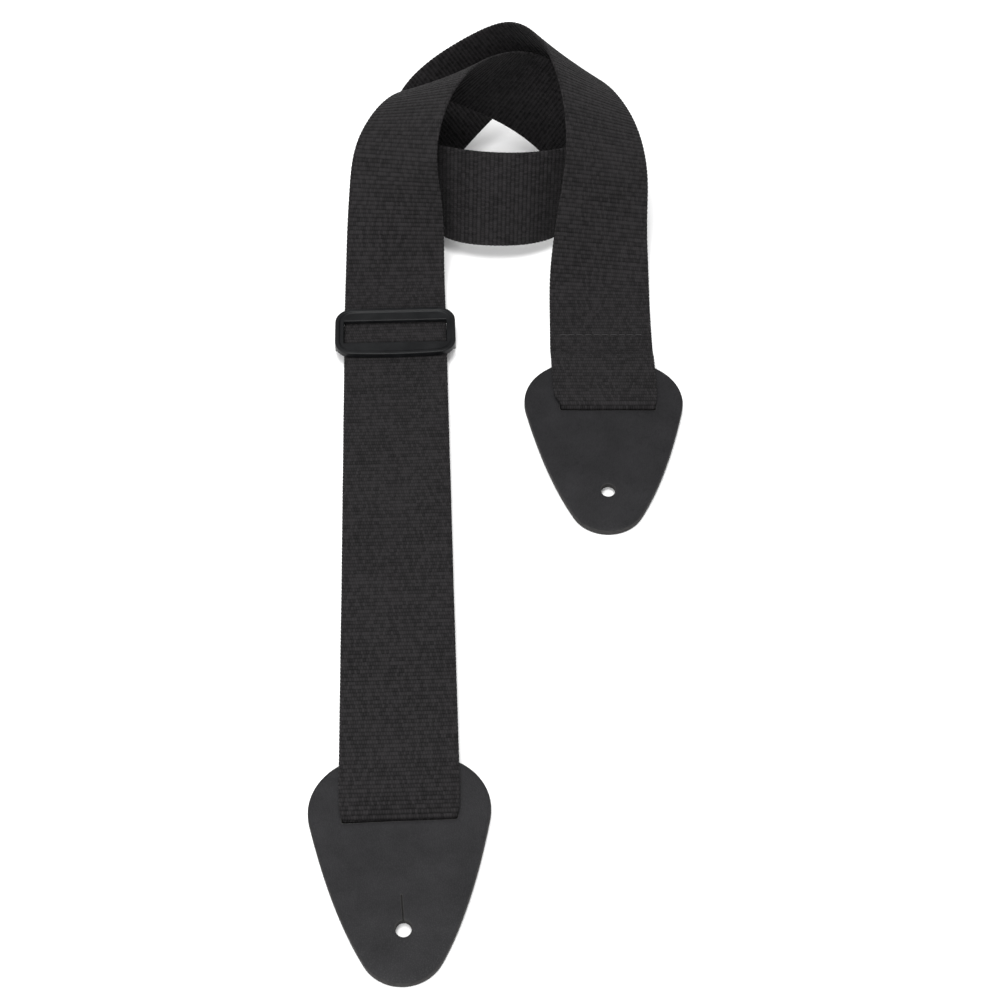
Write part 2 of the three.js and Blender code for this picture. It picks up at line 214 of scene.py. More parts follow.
def on_leg(leg, side_view):
    flat = np.column_stack([np.zeros(len(side_view)), side_view])
    return leg(flat)


def bar_and_back_line():
    """From the sewn end over the slider's centre bar, round it and back to the carrier."""
    bar_near = SLIDER_CENTRE - CENTRE_BAR_WIDTH / 2
    bar_turn = SLIDER_CENTRE + CENTRE_BAR_WIDTH / 2 + BAR_GAP
    slope = bar_near - FLAP_SLOPE
    return np.vstack([
        straight((slope - FLAP_LEVEL, FLAP_LYING), (slope, FLAP_LYING)),
        step((slope, FLAP_LYING), (bar_near, FLAP_OVER_BAR)),
        straight((bar_near, FLAP_OVER_BAR), (bar_turn, FLAP_OVER_BAR)),
        turn(bar_turn, LOWER_MIDDLE, FLAP_OVER_BAR, 1, False),
        straight((bar_turn, LOWER_MIDDLE), (LEFT_TIP + CARRIER_END, LOWER_MIDDLE)),
    ])


def left_end_line():
    """Under the leather, up through its slot and back over it."""
    near, far = LEFT_TIP + FOLD_CENTRE, LEFT_TIP + CARRIER_END
    return np.vstack([
        straight((far, LOWER_MIDDLE), (near, LOWER_MIDDLE)),
        turn(near, LOWER_MIDDLE, LEFT_UPPER, -1, True),
        straight((near, LEFT_UPPER), (far, LEFT_UPPER)),
    ])


def front_line():
    return straight((LEFT_TIP + CARRIER_END, LEFT_UPPER), (0, LEFT_UPPER))


def right_end_line():
    near, bend = RIGHT_TIP + FOLD_CENTRE, RIGHT_TIP + BEND_FROM_TIP
    over_edge = RIGHT_TIP + LEATHER_LENGTH + EDGE_GAP
    return np.vstack([
        straight((0, RIGHT_SEAM), (bend - EDGE_GAP, RIGHT_SEAM)),
        step((bend - EDGE_GAP, RIGHT_SEAM), (over_edge, RIGHT_UPPER)),
        straight((over_edge, RIGHT_UPPER), (near, RIGHT_UPPER)),
        turn(near, LOWER_MIDDLE, RIGHT_UPPER, -1, False),
        straight((near, LOWER_MIDDLE), (bend + RIGHT_TAIL, LOWER_MIDDLE)),
    ])


def loop_guides():
    """All guides, in metres: three in line with each leg, and those of the loop between them."""
    def in_line(foot, up, heading, width):
        return [
            [*((foot + heading * (k * GUIDE_SPACING * MM)).xy), up, *width] for k in (-1, 0, 1)
        ]

    heading = Vector((-math.sin(LEFT_LEAN), math.cos(LEFT_LEAN), 0))
    across = (math.cos(LEFT_LEAN), math.sin(LEFT_LEAN), 0)
    middle = [[x * MM, y * MM, z * MM, *width] for x, y, z, *width in LOOP_GUIDES]
    return np.array(
        in_line(LEFT_FOOT, LEFT_UPPER, heading, across)
        + middle
        + in_line(RIGHT_FOOT, RIGHT_SEAM, Vector((0, -1, 0)), (-1, 0, 0))
    )


def loop_line():
    """Points and width directions of the uniform cubic B-spline through the guides."""
    guides = loop_guides()
    spans = len(guides) - 3
    u = np.linspace(0, spans, spans * SPAN_STEPS, endpoint=False)
    span = np.minimum(u.astype(int), spans - 1)
    f = (u - span)[:, None]
    line = (
        guides[span] * (1 - f) ** 3
        + guides[span + 1] * (3 * f**3 - 6 * f**2 + 4)
        + guides[span + 2] * (-3 * f**3 + 3 * f**2 + 3 * f + 1)
        + guides[span + 3] * f**3
    ) / 6
    return line[:, :3], line[:, 3:]


def lay_out():
    """The whole middle line, one row per sixth of a rib, and where each part of it ends."""
    left_across = np.array([math.cos(LEFT_LEAN), math.sin(LEFT_LEAN), 0])
    right_across = np.array([-1.0, 0, 0])
    loop_points, loop_across = loop_line()
    parts = [
        (on_leg(left_leg, bar_and_back_line()), left_across),
        (on_leg(left_leg, left_end_line()), left_across),
        (on_leg(left_leg, front_line()), left_across),
        (loop_points, loop_across),
        (on_leg(right_leg, right_end_line()), right_across),
    ]
    points = np.vstack([p for p, _ in parts])
    across = np.vstack([np.broadcast_to(a, p.shape) for p, a in parts])
    along = np.concatenate([[0], np.cumsum(np.linalg.norm(np.diff(points, axis=0), axis=1))])
    ends = along[np.cumsum([len(p) for p, _ in parts]) - 1]
    rows = int(along[-1] / (RIB_PITCH / ROWS_PER_RIB))
    at = np.arange(rows + 1) * RIB_PITCH / ROWS_PER_RIB
    point = np.stack([np.interp(at, along, points[:, k]) for k in range(3)], axis=1)
    width = np.stack([np.interp(at, along, across[:, k]) for k in range(3)], axis=1)
    tangent = np.gradient(point, axis=0)
    tangent /= np.linalg.norm(tangent, axis=1)[:, None]
    width -= tangent * np.sum(width * tangent, axis=1)[:, None]
    width /= np.linalg.norm(width, axis=1)[:, None]
    normal = np.cross(width, tangent)
    return {"at": at, "point": point, "width": width, "normal": normal, "ends": ends}


LINE = lay_out()


def row_at(distance):
    """The row in the deep groove nearest to a distance along the line."""
    return 2 * ROWS_PER_RIB * round(distance / (2 * RIB_PITCH))


def waves(at, seed, lengths):
    """A smooth wavering from -1 to 1, a few sine waves of these lengths."""
    rng = np.random.default_rng(seed)
    total = sum(np.sin(2 * math.pi * at / length + rng.uniform(0, 6.28)) for length in lengths)
    return total / len(lengths)


def bump(at, centre, reach):
    """1 at the centre, falling off smoothly on both sides."""
    return np.exp(-(((at - centre) / reach) ** 2))


def fold_places():
    """Where along the line the webbing goes through the left and the right slot."""
    ends, carrier = LINE["ends"], CARRIER_END - FOLD_CENTRE
    left = ends[0] + carrier + math.pi * (LEFT_UPPER - LOWER_MIDDLE) / 4
    right = ends[3] - RIGHT_TIP - FOLD_CENTRE + math.pi * (RIGHT_UPPER - LOWER_MIDDLE) / 4
    return left, right


def slider_place():
    """Where along the line the webbing goes over the slider's centre bar."""
    return LINE["ends"][2] + SLIDER_CENTRE


def half_widths():
    """Half the webbing's width: it draws in where it goes through the leather's slots."""
    at = LINE["at"]
    left, right = fold_places()
    slider = slider_place()
    half = WEBBING_WIDTH / 2 + 0.12 * MM + 0.06 * MM * waves(at, 3, (0.043, 0.071, 0.118))
    changes = (  # how much wider, where, and how far on both sides
        (0.25, left, 90), (-0.35, slider + 62 * MM, 34),
        (-0.5, left, 12), (-1.1, left, 3.4), (-0.5, right, 12), (-2.0, right, 5),
    )
    for wider, place, reach in changes:
        half += wider * MM * bump(at, place, reach * MM)
    return half + 0.06 * MM * bump(at, slider, SLIDER_REACH)


def sideways():
    """How far the webbing lies to the side of the line: the right leg wanders a little."""
    at, ends = LINE["at"], LINE["ends"]
    right = fold_places()[1]
    start = ends[3] + 12 * MM
    along_leg = np.clip((at - start) / (right - start), 0, 1)
    past_fold = np.clip((at - right) / (ends[4] - right), 0, 1)
    wander = smooth(along_leg) * (1 - 0.9 * past_fold) + bump(at, right, 5 * MM)
    return -RIGHT_WANDER * wander


def relief(phase):
    """Height of the ribs from 0 in a groove to 1 on a crest, and the groove's depth there."""
    within = phase % 1
    height = np.abs(np.sin(math.pi * within)) ** 0.62
    nearest = np.round(phase).astype(int)
    depth = np.where(nearest % 2 == 0, DEEP_GROOVE, SHALLOW_GROOVE)
    return height, depth


# Places across the webbing, as shares of half its width, and the thickness there.
EDGE = [(1.0, 0.0), (0.993, 0.55), (0.98, 0.86), (0.955, 1.0)]
INNER = [(x, 1.0) for x in np.linspace(-0.9, 0.9, 15)]
TOP = [(-x, t) for x, t in EDGE] + INNER + [(x, t) for x, t in reversed(EDGE)]


def webbing(name, first, last):
    """The stretch of webbing between two rows: ribs on both faces and a notched selvedge."""
    at = LINE["at"][first:last + 1]
    rows, tops = len(at), len(TOP)
    share = np.array([x for x, _ in TOP])
    thick = np.array([t for _, t in TOP])
    phase = at / RIB_PITCH
    up, up_depth = relief(phase)
    down, down_depth = relief(phase + 0.5)
    notch = SELVEDGE_NOTCH * (1 - bump(at, slider_place(), SLIDER_REACH))
    half = HALF[first:last + 1] - notch * (1 - up)
    cup = 0.22 * MM * waves(at, 5, (0.061, 0.097, 0.163))
    lift = 0.12 * MM * waves(at, 7, (0.037, 0.083, 0.129))
    bow = lift[:, None] + cup[:, None] * (1 - share[None, :] ** 2)
    taut = 1 + 1.3 * bump(at, fold_places()[0], 18 * MM)  # ribs stand out where the webbing turns
    face = WEBBING_THICK / 2 - taut * up_depth * (1 - up)
    back = WEBBING_THICK / 2 - down_depth * (1 - down)
    top_z = bow + face[:, None] * thick
    low_z = bow - back[:, None] * thick
    side = half[:, None] * share
    shift = SIDEWAYS[first:last + 1, None]

    p, w, n = (LINE[key][first:last + 1] for key in ("point", "width", "normal"))

    def placed(x, z):
        return p[:, None] + w[:, None] * x[..., None] + n[:, None] * z[..., None]

    inner = slice(tops - 2, 0, -1)
    section = np.concatenate(
        [placed(side + shift, top_z), placed(side[:, inner] + shift, low_z[:, inner])], axis=1
    )
    count = section.shape[1]
    across = np.concatenate([side, side[:, inner]], axis=1)
    ones = np.ones(tops)
    height = np.concatenate(
        [up[:, None] * ones, down[:, None] * ones[inner]], axis=1
    )

    grid = np.arange(rows * count).reshape(rows, count)
    here, there = grid[:-1], grid[1:]
    quads = np.stack(
        [here, np.roll(here, -1, axis=1), np.roll(there, -1, axis=1), there], axis=-1
    ).reshape(-1, 4)
    lower = [(count - k) % count for k in range(tops)]
    cap = [[k, k + 1, lower[k + 1], lower[k]] for k in range(1, tops - 2)]
    cap += [[0, 1, lower[1]], [tops - 2, tops - 1, lower[tops - 2]]]
    faces = quads.tolist()
    faces += [q[::-1] for q in cap]
    faces += [[i + (rows - 1) * count for i in q] for q in cap]

    mesh = bpy.data.meshes.new(name)
    mesh.from_pydata(section.reshape(-1, 3).tolist(), [], faces)
    loops = np.zeros(len(mesh.loops), np.int32)
    mesh.loops.foreach_get("vertex_index", loops)
    uv = np.stack([across, np.broadcast_to(at[:, None], across.shape)], axis=-1).reshape(-1, 2)
    layer = mesh.uv_layers.new(name="weave")
    layer.data.foreach_set("uv", uv[loops].astype(np.float32).ravel())
    # the rib height, which the webbing material uses for painted shade in the grooves
    crest = mesh.attributes.new("crest", "FLOAT", "POINT")
    crest.data.foreach_set("value", height.astype(np.float32).ravel())
    mesh.polygons.foreach_set("use_smooth", np.ones(len(mesh.polygons), bool))
    mesh.materials.append(WEBBING)
    piece = bpy.data.objects.new(name, mesh)
    bpy.context.scene.collection.objects.link(piece)
    return piece, at[-1] - at[0]


# ---------------------------------------------------------------- materials
def material(name, base, roughness, **sockets):
    """A new material with its Principled shader, node tree and a helper that adds nodes."""
    made = bpy.data.materials.new(name)
    made.use_nodes = True
    nodes, links = made.node_tree.nodes, made.node_tree.links
    shader = nodes["Principled BSDF"]
    shader.inputs["Base Color"].default_value = (*base, 1)
    shader.inputs["Roughness"].default_value = roughness
    for key, value in sockets.items():
        shader.inputs[key.replace("_", " ")].default_value = value

    def add(kind, inputs=(), **settings):
        node = nodes.new("ShaderNode" + kind)
        for key, value in settings.items():
            setattr(node, key, value)
        for key, value in dict(inputs).items():
            if isinstance(value, bpy.types.NodeSocket):
                links.new(value, node.inputs[key])
            else:
                node.inputs[key].default_value = value
        return node

    return made, shader, add, links


def maths(add, operation, *values):
    node = add("Math", operation=operation)
    for socket, value in zip(node.inputs, values):
        if isinstance(value, bpy.types.NodeSocket):
            node.id_data.links.new(value, socket)
        else:
            socket.default_value = value
    return node.outputs[0]


def ramp(add, factor, low, high, from_min=0.0, from_max=1.0):
    """A colour between low and high as factor goes from from_min to from_max."""
    share = add("MapRange", {"Value": factor, "From Min": from_min, "From Max": from_max})
    mix = add("Mix", {"Factor": share.outputs[0], "A": (*low, 1), "B": (*high, 1)}, data_type="RGBA")
    return mix.outputs["Result"]


def webbing_material():
    """Black polypropylene: warp yarns crossing each rib, filaments in the yarns, dust and wear, and
    painted shade in the grooves and between the yarns.
    """
    made, shader, add, links = material(
        "webbing_black", (0.02, 0.019, 0.02), 0.85,
        Specular_IOR_Level=0.12, Sheen_Weight=0.02, Sheen_Roughness=0.4,
    )
    place = add("UVMap", uv_map="weave")
    split = add("SeparateXYZ", {"Vector": place.outputs[0]})
    rib = maths(add, "DIVIDE", split.outputs["Y"], RIB_PITCH)
    rib_number = maths(add, "FLOOR", rib)
    odd = maths(add, "MODULO", rib_number, 2.0)
    yarn = maths(add, "ADD", maths(add, "DIVIDE", split.outputs["X"], YARN_PITCH), 60.0)
    yarn = maths(add, "MULTIPLY_ADD", odd, 0.5, yarn)
    drift = add("TexNoise", {"Vector": place.outputs[0], "Scale": 130.0, "Detail": 2.0})
    yarn = maths(add, "MULTIPLY_ADD", drift.outputs["Fac"], 1.6, yarn)
    crown = maths(add, "ABSOLUTE", maths(add, "SINE", maths(add, "MULTIPLY", yarn, math.pi)))
    crown = maths(add, "MULTIPLY_ADD", crown, 0.75, 0.25)
    # the rib height from the crest attribute sets where shade is painted into the grooves
    crown = maths(add, "MULTIPLY", crown, add("Attribute", attribute_name="crest").outputs["Fac"])
    cell = add("CombineXYZ", {"X": maths(add, "FLOOR", yarn), "Y": rib_number})
    each = add("TexWhiteNoise", {"Vector": cell.outputs[0]}, noise_dimensions="2D")

    twist = add("Mapping", {"Vector": place.outputs[0], "Scale": (5200, 1500, 1)})
    twist.inputs["Rotation"].default_value = (0, 0, math.radians(24))
    filaments = add("TexNoise", {"Vector": twist.outputs[0], "Scale": 1.0, "Detail": 3.0})
    around = add("TexCoord").outputs["Object"]
    patches = add("TexNoise", {"Vector": around, "Scale": 42.0, "Detail": 5.0})
    grit = add("TexNoise", {"Vector": place.outputs[0], "Scale": 1400.0, "Detail": 2.0})

    # painted shade: dark in the grooves and between yarns, lighter on the crowns; no two crossings
    # quite alike
    each_rib = add("TexWhiteNoise", {"W": rib_number}, noise_dimensions="1D")
    tone = maths(add, "MULTIPLY_ADD", odd, -0.10, crown)
    tone = maths(add, "MULTIPLY_ADD", each.outputs["Value"], 0.85, tone)
    tone = maths(add, "MULTIPLY_ADD", each_rib.outputs["Value"], 0.12, tone)
    tone = maths(add, "MULTIPLY_ADD", filaments.outputs["Fac"], 0.5, tone)
    tone = maths(add, "MULTIPLY_ADD", patches.outputs["Fac"], 0.5, tone)
    colour = ramp(add, tone, (0.0003, 0.0003, 0.0003), (0.0157, 0.0145, 0.0153), 0.45, 2.05)
    links.new(colour, shader.inputs["Base Color"])
    rough = add("MapRange", {"Value": grit.outputs["Fac"], "To Min": 0.7, "To Max": 0.95})
    links.new(rough.outputs[0], shader.inputs["Roughness"])

    height = maths(add, "MULTIPLY_ADD", filaments.outputs["Fac"], 0.30, crown)
    bumped = add("Bump", {"Height": height, "Strength": 0.8, "Distance": 0.3 * MM})
    links.new(bumped.outputs[0], shader.inputs["Normal"])
    return made


def leather_material():
    """Black grained leather with a light finish: pebbled grain, creases and faint handling marks."""
    made, shader, add, links = material(
        "leather_black", (0.02, 0.02, 0.022), 0.45, Specular_IOR_Level=0.1,
    )
    place = add("TexCoord").outputs["Object"]
    warp = add("TexNoise", {"Vector": place, "Scale": 260.0, "Detail": 3.0})
    bent = add("VectorMath", operation="MULTIPLY_ADD")
    links.new(warp.outputs["Color"], bent.inputs[0])
    bent.inputs[1].default_value = (0.0012,) * 3
    links.new(place, bent.inputs[2])
    pebbles = add(
        "TexVoronoi", {"Vector": bent.outputs[0], "Scale": 1150.0}, feature="DISTANCE_TO_EDGE",
    )
    pebble = add("MapRange", {"Value": pebbles.outputs["Distance"], "From Max": 0.22})
    fine = add("TexNoise", {"Vector": place, "Scale": 2600.0, "Detail": 4.0})
    marks = add("TexNoise", {"Vector": place, "Scale": 55.0, "Detail": 6.0, "Roughness": 0.62})
    tone = maths(add, "MULTIPLY_ADD", pebble.outputs[0], 0.35, marks.outputs["Fac"])
    tone = maths(add, "MULTIPLY_ADD", fine.outputs["Fac"], 0.25, tone)
    links.new(
        ramp(add, tone, (0.0062, 0.0061, 0.0067), (0.0165, 0.0161, 0.0175), 0.45, 1.2),
        shader.inputs["Base Color"],
    )
    rough = add(
        "MapRange", {"Value": tone, "From Min": 0.4, "From Max": 1.2, "To Min": 0.55, "To Max": 0.38},
    )
    links.new(rough.outputs[0], shader.inputs["Roughness"])
    height = maths(add, "MULTIPLY_ADD", fine.outputs["Fac"], 0.3, pebble.outputs[0])
    bumped = add("Bump", {"Height": height, "Strength": 0.35, "Distance": 0.12 * MM})
    links.new(bumped.outputs[0], shader.inputs["Normal"])
    return made


def leather_edge_material():
    """The cut edge: dyed fibres, rougher and a little lighter than the grain side."""
    made, shader, add, links = material(
        "leather_cut_edge", (0.02, 0.019, 0.019), 0.8, Specular_IOR_Level=0.3,
    )
    layers = add("Mapping", {"Vector": add("TexCoord").outputs["Object"], "Scale": (420, 420, 2600)})
    fibres = add("TexNoise", {"Vector": layers.outputs[0], "Scale": 1.0, "Detail": 5.0})
    links.new(
        ramp(add, fibres.outputs["Fac"], (0.006, 0.0058, 0.0058), (0.022, 0.021, 0.0205), 0.3, 0.7),
        shader.inputs["Base Color"],
    )
    bumped = add("Bump", {"Height": fibres.outputs["Fac"], "Strength": 0.5, "Distance": 0.15 * MM})
    links.new(bumped.outputs[0], shader.inputs["Normal"])
    return made


def plastic_material():
    """Moulded black acetal with a faint spark texture and light rubbing marks along the strap."""
    made, shader, add, links = material(
        "plastic_black", (0.012, 0.012, 0.013), 0.4, Specular_IOR_Level=0.14,
    )
    place = add("TexCoord").outputs["Object"]
    spark = add("TexNoise", {"Vector": place, "Scale": 3200.0, "Detail": 2.0})
    blotches = add("TexNoise", {"Vector": place, "Scale": 130.0, "Detail": 4.0})
    rubbed = add("Mapping", {"Vector": place, "Scale": (2400, 160, 160)})
    scratches = add("TexNoise", {"Vector": rubbed.outputs[0], "Scale": 1.0, "Detail": 2.0})
    dark, light = (0.0026, 0.0028, 0.0032), (0.0066, 0.0069, 0.0075)
    links.new(
        ramp(add, blotches.outputs["Fac"], dark, light, 0.3, 0.7), shader.inputs["Base Color"],
    )
    wear = maths(add, "MULTIPLY_ADD", scratches.outputs["Fac"], 0.5, blotches.outputs["Fac"])
    rough = add(
        "MapRange", {"Value": wear, "From Min": 0.4, "From Max": 1.1, "To Min": 0.32, "To Max": 0.52},
    )
    links.new(rough.outputs[0], shader.inputs["Roughness"])
    height = maths(add, "MULTIPLY_ADD", scratches.outputs["Fac"], 0.25, spark.outputs["Fac"])
    bumped = add("Bump", {"Height": height, "Strength": 0.18, "Distance": 0.05 * MM})
    links.new(bumped.outputs[0], shader.inputs["Normal"])
    return made


def thread_material():
    """Twisted polyester sewing thread."""
    made, shader, add, links = material(
        "thread_dark", (0.02, 0.019, 0.019), 0.7, Specular_IOR_Level=0.2, Sheen_Weight=0.05,
    )
    ply = add(
        "TexWave", {"Vector": add("TexCoord").outputs["Object"], "Scale": 900.0, "Distortion": 1.5},
        bands_direction="DIAGONAL",
    )
    links.new(
        ramp(add, ply.outputs["Fac"], (0.010, 0.009, 0.010), (0.034, 0.032, 0.033)),
        shader.inputs["Base Color"],
    )
    bumped = add("Bump", {"Height": ply.outputs["Fac"], "Strength": 0.6, "Distance": 0.06 * MM})
    links.new(bumped.outputs[0], shader.inputs["Normal"])
    return made


WEBBING = webbing_material()
LEATHER = leather_material()
LEATHER_EDGE = leather_edge_material()
PLASTIC = plastic_material()
THREAD = thread_material()
HALF = half_widths()
SIDEWAYS = sideways()


# ---------------------------------------------------------------- plates with rounded edges
def arc(centre, radius, start, end, steps=None):
    steps = steps or max(4, round(abs(end - start) * radius / (0.7 * MM)))
    angle = np.linspace(start, end, steps + 1)
    return np.column_stack([centre[0] + radius * np.cos(angle), centre[1] + radius * np.sin(angle)])


def closed(*stretches):
    """One closed outline without doubled points, no step longer than the mesh is fine."""
    points = np.vstack(stretches)
    points = points[np.linalg.norm(points - np.roll(points, 1, axis=0), axis=1) > 0.02 * MM]
    filled = []
    for here, there in zip(points, np.roll(points, -1, axis=0)):
        count = max(1, math.ceil(np.linalg.norm(there - here) / (0.9 * MM)))
        filled.append(here + (there - here) * np.linspace(0, 1, count, endpoint=False)[:, None])
    return np.vstack(filled)


def inset(outline, distance):
    """The outline moved to its left, which is into the material."""
    before, after = np.roll(outline, 1, axis=0), np.roll(outline, -1, axis=0)
    heading = after - before
    heading /= np.linalg.norm(heading, axis=1)[:, None]
    return outline + distance * np.column_stack([-heading[:, 1], heading[:, 0]])


def inside(points, outline):
    """True for each point inside the outline."""
    x, y = points[:, 0, None], points[:, 1, None]
    a, b = outline, np.roll(outline, -1, axis=0)
    crosses = (a[:, 1] > y) != (b[:, 1] > y)
    rise = np.where(b[:, 1] == a[:, 1], 1e-12, b[:, 1] - a[:, 1])
    return (crosses & (x < (b[:, 0] - a[:, 0]) * (y - a[:, 1]) / rise + a[:, 0])).sum(1) % 2 == 1


def plate(name, outer, holes, low, high, rounding, spacing=1.5 * MM):
    """A flat piece between two heights with rounded edges. outer is anticlockwise, holes clockwise."""
    loops = [outer, *holes]
    bevel = [(rounding, 0.0), (rounding * 0.5, rounding * 0.13), (rounding * 0.13, rounding * 0.5),
             (0.0, rounding)]
    profile = [(d, low + h) for d, h in bevel] + [(d, high - h) for d, h in reversed(bevel)]
    bm = bmesh.new()
    for outline in loops:
        rings = []
        for distance, z in profile:
            ring = inset(outline, distance)
            rings.append([bm.verts.new((x, y, z)) for x, y in ring])
        for lower, upper in zip(rings, rings[1:]):
            for k in range(len(outline)):
                nxt = (k + 1) % len(outline)
                face = bm.faces.new((lower[k], lower[nxt], upper[nxt], upper[k]))
                face.material_index = 1

    rims = [inset(outline, rounding) for outline in loops]
    points = np.vstack(rims)
    edges, start = [], 0
    for rim in rims:
        edges += [(start + k, start + (k + 1) % len(rim)) for k in range(len(rim))]
        start += len(rim)
    lo, hi = points.min(0), points.max(0)
    xs, ys = (np.arange(lo[i] + spacing / 2, hi[i], spacing) for i in (0, 1))
    grid = np.array([(x + (j % 2) * spacing / 2, y) for j, y in enumerate(ys) for x in xs])
    room = np.array([np.linalg.norm(points - g, axis=1).min() > spacing * 0.6 for g in grid])
    grid = grid[room & inside(grid, rims[0])]
    for rim in rims[1:]:
        grid = grid[~inside(grid, rim)]
    every = [Vector(p) for p in np.vstack([points, grid])]
    verts, _, faces, *_ = delaunay_2d_cdt(every, edges, [], 0, 1e-9)
    flat = np.array([v[:] for v in verts])
    middle = np.array([flat[list(f)].mean(0) for f in faces])
    keep = inside(middle, rims[0])
    for rim in rims[1:]:
        keep &= ~inside(middle, rim)
    for z, upward in ((high, True), (low, False)):
        made = [bm.verts.new((x, y, z)) for x, y in flat]
        for face, kept in zip(faces, keep):
            if kept:
                a, b, c = face
                turned = np.cross(flat[b] - flat[a], flat[c] - flat[a]) > 0
                corners = (a, b, c) if turned == upward else (a, c, b)
                bm.faces.new([made[i] for i in corners]).material_index = 0
    bmesh.ops.remove_doubles(bm, verts=bm.verts, dist=0.002 * MM)
    bmesh.ops.delete(bm, geom=[v for v in bm.verts if not v.link_faces], context="VERTS")
    for face in bm.faces:
        face.smooth = True
    mesh = bpy.data.meshes.new(name)
    bm.to_mesh(mesh)
    bm.free()
    piece = bpy.data.objects.new(name, mesh)
    bpy.context.scene.collection.objects.link(piece)
    return piece


def reshape(piece, change):
    """Gives every point of the piece its new place, change(points)."""
    mesh = piece.data
    co = np.zeros(len(mesh.vertices) * 3, np.float32)
    mesh.vertices.foreach_get("co", co)
    mesh.vertices.foreach_set("co", change(co.reshape(-1, 3).astype(float)).astype(np.float32).ravel())
    mesh.update()


# ---------------------------------------------------------------- leather ends
def leather_outline():
    """A rounded triangle, its tip at the origin and its flanks bulging a little."""
    shoulder = LEATHER_HALF_WIDTH - SHOULDER_RADIUS
    tip = arc((0, TIP_RADIUS), TIP_RADIUS, math.pi + TIP_SWEEP, 2 * math.pi - TIP_SWEEP)
    right = arc((shoulder, LEATHER_WIDEST), SHOULDER_RADIUS, -SHOULDER_SWEEP, math.pi / 2)
    left = arc((-shoulder, LEATHER_WIDEST), SHOULDER_RADIUS, math.pi / 2, math.pi + SHOULDER_SWEEP)
    start, end = tip[-1], right[0]
    slope_a, slope_b = math.tan(TIP_SWEEP), math.tan(SHOULDER_SWEEP)
    y = (end[0] - start[0] + slope_a * start[1] - slope_b * end[1]) / (slope_a - slope_b)
    control = np.array([start[0] + slope_a * (y - start[1]), y])
    t = np.linspace(0, 1, 90)[1:-1, None]
    flank = (1 - t) ** 2 * start + 2 * t * (1 - t) * control + t * t * end
    return closed(tip, flank, right, left, (flank * (-1, 1))[::-1])


def slot_outline(middle, length):
    """The webbing's slot across the leather, clockwise."""
    half, radius = length / 2, SLOT_CORNER
    low, high = SLOT_NEAR, SLOT_FAR
    corners = [
        arc((half - radius, high - radius), radius, math.pi / 2, 0, 6),
        arc((half - radius, low + radius), radius, 0, -math.pi / 2, 6),
        arc((-half + radius, low + radius), radius, -math.pi / 2, -math.pi, 6),
        arc((-half + radius, high - radius), radius, math.pi, math.pi / 2, 6),
    ]
    return closed(*corners) + (middle, 0)


def button_hole_outline(slit):
    """The button hole, with or without the slit above it, clockwise."""
    centre = np.array([HOLE_ASIDE, HOLE_FROM_TIP])
    half = math.asin(SLIT_WIDTH / 2 / HOLE_RADIUS) if slit else 0
    hole = arc((0, 0), HOLE_RADIUS, math.pi / 2 - half, -1.5 * math.pi + half, 56)
    hole = centre + hole * (1, HOLE_STRETCH)
    if not slit:
        return closed(hole[:-1])
    top = HOLE_FROM_TIP + HOLE_RADIUS * HOLE_STRETCH + SLIT_LENGTH
    end = arc((0, top - SLIT_WIDTH / 2), SLIT_WIDTH / 2, math.pi, 0, 6)
    return closed(end, hole)


def shut_slit(piece):
    """Fills the lower part of the slit, where its two sides still touch."""
    low = HOLE_FROM_TIP + HOLE_RADIUS * HOLE_STRETCH + 0.15 * MM
    half = SLIT_WIDTH / 2 + 0.02 * MM
    bm = bmesh.new()
    bm.from_mesh(piece.data)
    corners = [
        bm.verts.new((x + side * half, y, z))
        for x, y in ((HOLE_ASIDE, low), (0, low + SLIT_LENGTH))
        for side in (-1, 1)
        for z in (0.1 * MM, SLIT_SHUT)
    ]
    bmesh.ops.convex_hull(bm, input=corners)
    for face in {f for corner in corners for f in corner.link_faces}:
        face.material_index = 1
    bm.to_mesh(piece.data)
    bm.free()


def leather_end(name, body, leg, tip, slot, slit, askew, seed):
    """A leather end laid on its leg, turned askew round its slot and not quite flat."""
    holes = [slot_outline(*slot), button_hole_outline(slit)]
    piece = plate(name, leather_outline(), holes, 0, LEATHER_THICK, LEATHER_ROUNDING)
    if slit:
        shut_slit(piece)
    rng = np.random.default_rng(seed)
    phases = rng.uniform(0, 6.28, 4)

    def laid(points):
        x, y, z = points.T
        wander = (
            np.sin(x / (9 * MM) + phases[0]) * np.sin(y / (13 * MM) + phases[1])
            + 0.6 * np.sin(x / (5 * MM) + y / (7 * MM) + phases[2])
        )
        # uneven, pulled up round the slot, and curving down to the plane at its tip
        pull = bump(y, 80 * MM, 9 * MM) * np.clip(1 - (x / (30 * MM)) ** 2, 0, 1)
        rise = np.clip(y / (32 * MM), 0, 1)
        arched = rise * (2 - rise) * np.clip((78 * MM - y) / (46 * MM), 0, 1)
        z = z + 0.08 * MM * wander * rise + 0.12 * MM * pull + LEATHER_ARCH * arched
        turned = math.cos(askew) * x - math.sin(askew) * (y - SLOT_FAR)
        y = SLOT_FAR + math.sin(askew) * x + math.cos(askew) * (y - SLOT_FAR)
        c, s = math.cos(LEATHER_TILT), math.sin(LEATHER_TILT)
        return leg(np.column_stack([turned, tip + c * y - s * z, LEATHER_LIFT + s * y + c * z]))

    reshape(piece, laid)
    piece.data.materials.append(LEATHER)
    piece.data.materials.append(LEATHER_EDGE)
    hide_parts(name)
    piece.name = name + "_hide"
    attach(piece, body)
    return piece


